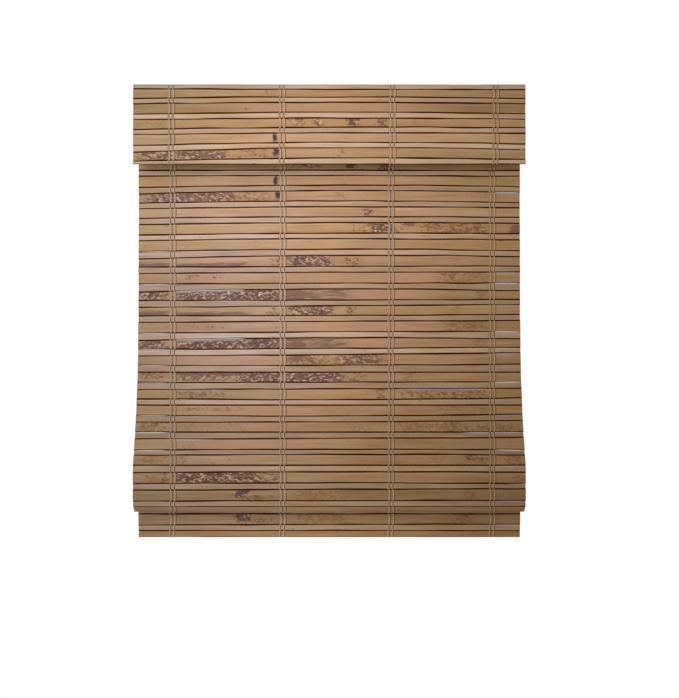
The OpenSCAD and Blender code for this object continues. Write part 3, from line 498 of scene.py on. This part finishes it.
def addSlat(run, index, order, tintCode, endShift):
    # One bevelled board along X, cut into short lengths and rows, then bent to its neighbours
    length, thick, height = mat["length"], mat["thick"], run["slats"][index]
    bm = bmesh.new()
    bmesh.ops.create_cube(bm, size=1)
    bmesh.ops.scale(bm, vec=(length, thick, height), verts=bm.verts)
    longEdges = [e for e in bm.edges if abs(e.verts[0].co.x - e.verts[1].co.x) > 1]
    bmesh.ops.bevel(bm, geom=longEdges, offset=slatLook["bevel"], offset_type="OFFSET", segments=1, profile=0.5,
                    affect="EDGES", material=-1)
    longEdges = [e for e in bm.edges if abs(e.verts[0].co.x - e.verts[1].co.x) > 1]
    bmesh.ops.subdivide_edges(bm, edges=longEdges, cuts=slatLook["segments"] - 1)
    rowEdges = [e for e in bm.edges if all(v.co.y < -thick / 2 + slatLook["tight"] for v in e.verts)
                and abs(e.verts[0].co.z - e.verts[1].co.z) > 1]
    bmesh.ops.subdivide_edges(bm, edges=rowEdges, cuts=len(slatLook["rows"]) - 2)

    layers = bm.verts.layers
    placeLayer = layers.float_vector.new("slatPlace")
    tintAndLightLayer = layers.float_color.new("slatTintAndLight")
    marksAndGlintLayer = layers.float_color.new("slatMarksAndGlint")
    washesAndShadeLayer = layers.float_color.new("slatWashesAndShade")
    knotLayer = layers.float.new("slatKnot")
    shadeLayer = layers.float_color.new("slatShade")
    tintColour = hexColour(tintCode)
    node, slatIndex = run["node"], run["first"] + index
    listed = scorchMarks.get((node, slatIndex), [])
    knots = [(start, end) for start, end, kind, *rest in listed if kind == "knot"]
    mirror = -1 if any(kind == "fleck" for start, end, kind, *rest in listed) else 1
    seed = order * slatLook["slatSeed"]
    top = -runLength(run["slats"][:index])
    bottom = -runLength(run["slats"][:index + 1])
    upperLine, lowerLine = run["lines"][index], run["lines"][index + 1]
    nextNode, nextSlat = run["after"][index]
    faceHalf = height / 2 - slatLook["bevel"]
    lastRow, tight, far = len(slatLook["rows"]) - 1, slatLook["tight"], slatLook["knotFar"]
    slatZ = run["start"][1] + top * math.cos(math.radians(run["lean"]))
    for v in bm.verts:
        x, y, z = v.co
        along = x + length / 2
        openAbove, bright = openAt(node, slatIndex, along)
        upperEdge = top + lineAt(upperLine, along) - upperLine["shut"] - openAbove
        lowerEdge = bottom + lineAt(lowerLine, along) + lowerLine["shut"] + openAt(nextNode, nextSlat, along)[0]
        # Painted shade: the faces that turn into the gaps, and the outer rows of the front, get the dark edge amount
        edge = 1
        if abs(y) > thick / 2 - tight:
            lips = [slatLook["lipLeast"] + (slatLook["lipMost"] - slatLook["lipLeast"])
                    * (slatLook["lipMiddle"] + slatLook["lipSwing"] * wave(along, slatLook["lipOver"], seed + more))
                    for more in slatLook["lipSeeds"]]
            lips = [max(lip, line["lip"]) for lip, line in zip(lips, (lowerLine, upperLine))]
            share = (z + faceHalf) / (2 * faceHalf)
            edge = 0
            if y < 0:
                row = round(share * lastRow)
                share = slatLook["rows"][row]
                edge = slatLook["rowGapShade"] if row in (0, lastRow) else 0
                y -= slatLook["bow"] * (1 - (2 * share - 1) ** 2)
            z = (lowerEdge + lips[0]) * (1 - share) + (upperEdge - lips[1]) * share
        else:
            share = 1 if z > 0 else 0
            y *= (upperLine if z > 0 else lowerLine)["edge"]
            z = upperEdge if z > 0 else lowerEdge
        amounts = {"speckle": 0, "streak": 0, "knot": 0, "blush": 0, "tan": 0}
        for start, end, kind, strength, low, high in listed:
            amount = strength * ramp(share, low, high, slatLook["markHard" if (low, high) == (0, 1) else "markSoft"])
            if kind != "knot":
                soft = min(slatLook["softEnds"][kind], slatLook["softMost"] * (end - start))
                amount *= ramp(along, start, end, soft)
            kind = "speckle" if kind == "fleck" else kind
            amounts[kind] = max(amounts[kind], amount)
        if y > 0:
            # The back of a slat is the bare inner side of the cane
            amounts.update({"speckle": 0, "streak": 0, "knot": 0})
            bright = 0
        knotPlace = min([(2 * along - start - end) / (end - start) for start, end in knots] or [far], key=abs)
        # Random drift in tone along the slat, then a painted highlight that lightens its upper part, and the painted
        # pool of light
        drift = 1 + sum(swing * wave(along, over, seed + more) for swing, over, more in slatLook["drift"])
        drift *= 1 + slatLook["topLight"] * max(0, share - slatLook["topFrom"]) / (1 - slatLook["topFrom"])
        # Painted highlight along the slat's upper edge, below an open gap
        glint = slatLook["glintMost"] * bright * ramp(share, slatLook["glintFrom"], 2, slatLook["glintBlur"])
        v[placeLayer] = (along + order * slatLook["slatApart"][0], z * mirror, order * slatLook["slatApart"][1])
        v[tintAndLightLayer] = [c * drift * pooledLight for c, pooledLight in zip(tintColour, lightPoolAt(node, along, slatZ))] + [1]
        v[shadeLayer] = shadeFallAt(along, slatZ) + [1]
        v[marksAndGlintLayer] = (amounts["speckle"], amounts["streak"], amounts["knot"], glint)
        v[washesAndShadeLayer] = (amounts["blush"] * slatLook["blushMost"], amounts["tan"], edge, 1)
        v[knotLayer] = max(-far, min(far, knotPlace))
        x -= endShift * max(-1, min(1, x / slatLook["unevenFrom"])) if abs(x) > length / 2 - tight else 0
        v.co = run["matrix"] @ (Vector((x, y, z)) * mm)
    mesh = bpy.data.meshes.new("slat")
    bm.to_mesh(mesh)
    bm.free()
    return mesh


# Threads: at each column two pairs of strands twine round the slats, crossing in every gap
threadWeave = {"fromLeft": [67, 283], "fromRight": [55, 254], "valanceLeft": [73, 284.5], "valanceRight": [57.5, 254.5],
               "pitch": 7.8, "radius": 1.0, "flatten": 2.3, "sides": 10, "stand": 0.25, "sway": 1.5, "steep": 1.9,
               "stations": [0, 0.07, 0.17, 0.5, 0.83, 0.93],
               "crossDark": 0.75, "nearShadeFrom": 0.2, "nearShadeOver": 0.6, "farShade": 0.4, "farPower": 4}


def columnsOf(node):
    left, right = ("valanceLeft", "valanceRight") if node == "valance" else ("fromLeft", "fromRight")
    half = mat["length"] / 2
    return [d - half for d in threadWeave[left]] + [half - d for d in threadWeave[right]]


def strandPath(run, x, strand):
    # The columns draw together where the mat stands forward, so that they hang plumb to the eye
    points, depth = [], mat["thick"] / 2 + threadWeave["stand"]
    along = x + mat["length"] / 2
    plumb, lean = mat["valanceY"] if run["node"] == "valance" else mat["matY"], math.sin(math.radians(run["lean"]))
    edges = [-runLength(run["slats"][:i]) + lineAt(line, along) for i, line in enumerate(run["lines"])]
    for height, top, bottom in zip(run["slats"], edges, edges[1:]):
        isWide = height > mat["wideOver"]
        front = -1 if isWide == (strand == 0) else 1
        sway = threadWeave["sway"] * (1 if isWide else -1)
        for share in threadWeave["stations"]:
            lift = min(1, math.sin(math.pi * share) * threadWeave["steep"])
            z = top + (bottom - top) * share
            drawnIn = 1 - (plumb - run["start"][0] - z * lean) / view["distance"]
            points.append((x * drawnIn + sway * lift * -front, front * depth * lift, z))
    drawnIn = 1 - (plumb - run["start"][0] - edges[-1] * lean) / view["distance"]
    points.append((x * drawnIn, 0, edges[-1]))
    return points


def addStrand(bm, layers, points, run):
    # A ring of a few sides is drawn out from point to point
    sides, radius = threadWeave["sides"], threadWeave["radius"]
    made = len(bm.verts)
    ring = bmesh.ops.create_circle(bm, segments=sides, radius=radius)["verts"]
    edges = list({e for v in ring for e in v.link_edges})
    bmesh.ops.scale(bm, vec=(threadWeave["flatten"], 1, 1), verts=ring)
    here = Vector(points[0])
    bmesh.ops.translate(bm, vec=here, verts=ring)
    for point in points[1:]:
        drawn = bmesh.ops.extrude_edge_only(bm, edges=edges)["geom"]
        ring = [g for g in drawn if isinstance(g, bmesh.types.BMVert)]
        edges = [g for g in drawn if isinstance(g, bmesh.types.BMEdge)]
        bmesh.ops.translate(bm, vec=Vector(point) - here, verts=ring)
        here = Vector(point)
    bm.verts.ensure_lookup_table()
    for number, v in enumerate(bm.verts[made:]):
        station = min(number // sides, len(points) - 1)
        centre = points[station]
        across = (v.co.x - centre[0]) / (radius * threadWeave["flatten"])
        # Painted shade: the strand is dark where it crosses into a gap, down its right flank and a little on its left
        # flank
        crossing = threadWeave["crossDark"] if station % len(threadWeave["stations"]) == 0 else 0
        nearShade = min(1, max(0, (across - threadWeave["nearShadeFrom"]) / threadWeave["nearShadeOver"]))
        farShade = threadWeave["farShade"] * max(0, -across) ** threadWeave["farPower"]
        v[layers["rim"]] = max(crossing, nearShade, farShade)
        v[layers["turn"]] = (centre[2], across, (v.co.y - centre[1]) / radius)
        # The strand takes the same painted shade and painted pool of light as the slats
        along, z = centre[0] + mat["length"] / 2, run["start"][1] + centre[2]
        v[layers["tone"]] = [a * b for a, b in zip(shadeFallAt(along, z), lightPoolAt(run["node"], along, z))] + [1]


slatCount = 0
firstSlat = {}
for run in runs:
    node = run["node"]
    run["first"] = firstSlat.get(node, 0)
    firstSlat[node] = run["first"] + len(run["slats"])
    run["matrix"] = Matrix.Translation(Vector((0, run["start"][0], run["start"][1])) * mm)
    run["matrix"] = run["matrix"] @ Matrix.Rotation(math.radians(-run["lean"]), 4, "X")
    run["lines"] = []
    for index in range(len(run["slats"])):
        rise = gapLines.get(node, {}).get(run["first"] + index)
        atFold = index == 0 and node != "hem_flap"
        line = {"rise": rise or (0, 0, 0), "wander": slatLook["foldWander" if atFold else "wander"],
                "seed": slatCount * slatLook["lineSeed"], "shut": slatLook["shut"], "lip": 0, "edge": 1}
        if (node, run["first"] + index) in hingeLines:
            line.update({"wander": 0, "shut": slatLook["hingeShut"], "lip": slatLook["hingeLip"],
                         "edge": slatLook["hingeEdge"]})
        run["lines"].append(line)
        slatCount += 1
levelLine = {"rise": (0, 0, 0), "wander": 0, "seed": 0, "shut": slatLook["shut"], "lip": 0, "edge": 1}
for run, nextRun in zip(runs, runs[1:] + [None]):
    isLast = run["node"] == "valance" or nextRun is None
    run["lines"].append(levelLine if isLast else nextRun["lines"][0])
    names = [(run["node"], run["first"] + i + 1) for i in range(len(run["slats"]) - 1)]
    run["after"] = names + [("", 0) if isLast else (nextRun["node"], nextRun["first"])]
for run in (runs[0], runs[1]):
    run["lines"][0] = levelLine

slatOrder = 0
slatMeshes = {}
dice = random.Random(slatLook["diceSeed"])
for run in runs:
    node = run["node"]
    for index, height in enumerate(run["slats"]):
        tone = slatTones.get((node, run["first"] + index), "tan")
        tintCode = slatLook[tone] if height > mat["wideOver"] else dice.choice(slatLook["narrow"])
        tintCode = slatLook["hem"] if height == mat["hem"] else tintCode
        endShift = dice.random() * slatLook["unevenEnd"]
        slatMeshes.setdefault(node, []).append(addSlat(run, index, slatOrder, tintCode, endShift))
        slatOrder += 1
print("slats shaped:", slatOrder)

bodyOf = {n: body for body, names in frame["record"]["behaviour"]["bodies"].items() for n in names}
for node, meshes in slatMeshes.items():
    bm = bmesh.new()
    for mesh in meshes:
        bm.from_mesh(mesh)
        bpy.data.meshes.remove(mesh)
    piece = addPiece(bm, node + "_slats", bamboo)
    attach(piece, bodyOf[node])
    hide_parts(node)

    bm = bmesh.new()
    layers = {"rim": bm.verts.layers.float.new("threadShadeSide")}
    layers["turn"] = bm.verts.layers.float_vector.new("threadTurn")
    layers["tone"] = bm.verts.layers.float_color.new("threadPaintedLight")
    for run in [r for r in runs if r["node"] == node]:
        before = len(bm.verts)
        for column in columnsOf(node):
            for pair in (-1, 1):
                for strand in (0, 1):
                    path = strandPath(run, column + pair * threadWeave["pitch"] / 2, strand)
                    addStrand(bm, layers, path, run)
        bmesh.ops.transform(bm, matrix=run["matrix"] @ Matrix.Scale(mm, 4), verts=bm.verts[before:])
    bmesh.ops.recalc_face_normals(bm, faces=bm.faces)
    piece = addPiece(bm, node + "_threads", thread)
    for face in piece.data.polygons:
        face.use_smooth = True
    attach(piece, bodyOf[node])
print("mats woven:", len(slatMeshes))

# Fittings behind the mat keep their CAD shapes. Each material is a noise of its own grain, in mm along X, Y and Z,
# that shades the colour, the sheen and the relief. The finest grains are drawn at 1 mm, too small to show as they are.
fittingLooks = {
    # Cream powder coat: soft sheen with the slight orange peel of the baked powder
    "rail_aluminium": {"name": "powderCoatedAluminium", "colour": "#E4DFD2", "shade": 0.96, "metallic": 0,
                       "roughness": (0.42, 0.55), "grain": (1.6, 1.6, 1.6), "relief": 0.06},
    # Zinc plate: cool grey metal with cloudy patches
    "bracket_steel": {"name": "zincPlatedSteel", "colour": "#B9BCBD", "shade": 0.82, "metallic": 1,
                      "roughness": (0.3, 0.5), "grain": (7, 7, 7), "relief": 0.02},
    # Drawn bar: bright metal with die lines along the shaft
    "shaft_steel": {"name": "drawnSteel", "colour": "#A9ACAE", "shade": 0.78, "metallic": 1,
                    "roughness": (0.25, 0.45), "grain": (60, 1, 1), "relief": 0.03},
    # Rolled strip: blue-grey metal with rolling lines along the coil
    "spring_steel": {"name": "rolledSpringSteel", "colour": "#8E9298", "shade": 0.75, "metallic": 1,
                     "roughness": (0.22, 0.4), "grain": (1, 14, 14), "relief": 0.02},
    # Moulded acetal: waxy off-white with a finely sparked surface
    "white_plastic": {"name": "mouldedAcetal", "colour": "#E9E7E0", "shade": 0.95, "metallic": 0,
                      "roughness": (0.36, 0.5), "grain": (1, 1, 1), "relief": 0.04},
    # Natural nylon: milky, with faint flow clouds
    "clear_plastic": {"name": "naturalNylon", "colour": "#DAD9D2", "shade": 0.92, "metallic": 0,
                      "roughness": (0.28, 0.4), "grain": (5, 3, 3), "relief": 0.02},
    # Hook tape: matt and furred with small hooks
    "tape_fabric": {"name": "hookTape", "colour": "#DCD8CC", "shade": 0.72, "metallic": 0,
                    "roughness": (0.9, 1), "grain": (1.2, 1.2, 1.2), "relief": 0.5},
    # Turned dowel: pale wood with grain along the rod
    "dowel_wood": {"name": "turnedDowel", "colour": "#C9B48C", "shade": 0.76, "metallic": 0,
                   "roughness": (0.5, 0.68), "grain": (70, 1.2, 1.2), "relief": 0.15}}
slotOf = {part["node"]: part["material_slot"] for part in frame["record"]["subparts"]}
fittingMaterials = {}
for slotName, look in fittingLooks.items():
    material, tree, shader = newMaterial(look["name"])
    spot = addNode(tree, "ShaderNodeTexCoord")
    spotAt = addNode(tree, "ShaderNodeVectorMath", {"operation": "MULTIPLY"},
                     {1: [1 / (size * mm) for size in look["grain"]]}, {0: spot.outputs["Object"]})
    speck = addNode(tree, "ShaderNodeTexNoise", values={"Scale": 1, "Detail": 3}, links={"Vector": spotAt.outputs[0]})
    spread = addNode(tree, "ShaderNodeMapRange", values={"From Min": 0.3, "From Max": 0.7},
                     links={"Value": speck.outputs["Fac"]})
    colour = hexColour(look["colour"])
    shaded = addNode(tree, "ShaderNodeMix", {"data_type": "RGBA"},
                     {"A": [c * look["shade"] for c in colour[:3]] + [1], "B": colour}, {"Factor": spread.outputs[0]})
    gloss = addNode(tree, "ShaderNodeMapRange", values={"To Min": look["roughness"][1], "To Max": look["roughness"][0]},
                    links={"Value": spread.outputs[0]})
    relief = addNode(tree, "ShaderNodeBump", values={"Strength": look["relief"], "Distance": 0.0005},
                     links={"Height": speck.outputs["Fac"]})
    tree.links.new(shaded.outputs["Result"], shader.inputs["Base Color"])
    tree.links.new(gloss.outputs[0], shader.inputs["Roughness"])
    tree.links.new(relief.outputs[0], shader.inputs["Normal"])
    shader.inputs["Metallic"].default_value = look["metallic"]
    fittingMaterials[slotName] = material
for node, thing in frame["nodes"].items():
    if slotOf[node] in fittingMaterials:
        thing.data.materials.clear()
        thing.data.materials.append(fittingMaterials[slotOf[node]])
print("fittings finished:", len(fittingMaterials), "materials")

# Studio, in metres: a pale floor below, a broad key light in front, left of the middle and level with the head rail,
# a weak fill from the right, white behind
studio = {"floorAt": (0, -1.0, -1.6), "floorHalf": 1.6, "floorColour": "#EFEFEF", "floorRoughness": 0.8,
          "key": {"power": 30, "size": 1.3, "at": (-0.5, -2.0, -0.02), "aim": (0, 0, -0.4)},
          "fill": {"power": 3, "size": 2.4, "at": (1.6, -2.4, -0.4), "aim": (0, 0, -0.45)}, "ambient": 0.45}
floorPaint, tree, shader = newMaterial("palePaint")
shader.inputs["Base Color"].default_value = hexColour(studio["floorColour"])
shader.inputs["Roughness"].default_value = studio["floorRoughness"]
bm = bmesh.new()
bmesh.ops.create_grid(bm, x_segments=1, y_segments=1, size=studio["floorHalf"])
bmesh.ops.translate(bm, vec=studio["floorAt"], verts=bm.verts)
floor = addPiece(bm, "floor", floorPaint)

for name in ("key", "fill"):
    lampLook = studio[name]
    lampData = bpy.data.lights.new(name, "AREA")
    lampData.energy = lampLook["power"]
    lampData.size = lampLook["size"]
    lamp = bpy.data.objects.new(name, lampData)
    lamp.location = lampLook["at"]
    towards = Vector(lampLook["aim"]) - Vector(lampLook["at"])
    lamp.rotation_euler = towards.to_track_quat("-Z", "Y").to_euler()
    scene.collection.objects.link(lamp)

world = bpy.data.worlds.new("studioWhite")
scene.world = world
world.use_nodes = True
tree = world.node_tree
rays = addNode(tree, "ShaderNodeLightPath")
seen = addNode(tree, "ShaderNodeMath", {"operation": "MAXIMUM"},
               links={0: rays.outputs["Is Camera Ray"], 1: rays.outputs["Is Glossy Ray"]})
seenToo = addNode(tree, "ShaderNodeMath", {"operation": "MAXIMUM"},
                  links={0: seen.outputs[0], 1: rays.outputs["Is Transmission Ray"]})
level = addNode(tree, "ShaderNodeMapRange", values={"To Min": studio["ambient"], "To Max": 1},
                links={"Value": seenToo.outputs[0]})
tree.links.new(level.outputs[0], tree.nodes["Background"].inputs["Strength"])
tree.nodes["Background"].inputs["Color"].default_value = (1, 1, 1, 1)

scene.view_settings.view_transform = "Standard"
print("studio lit")
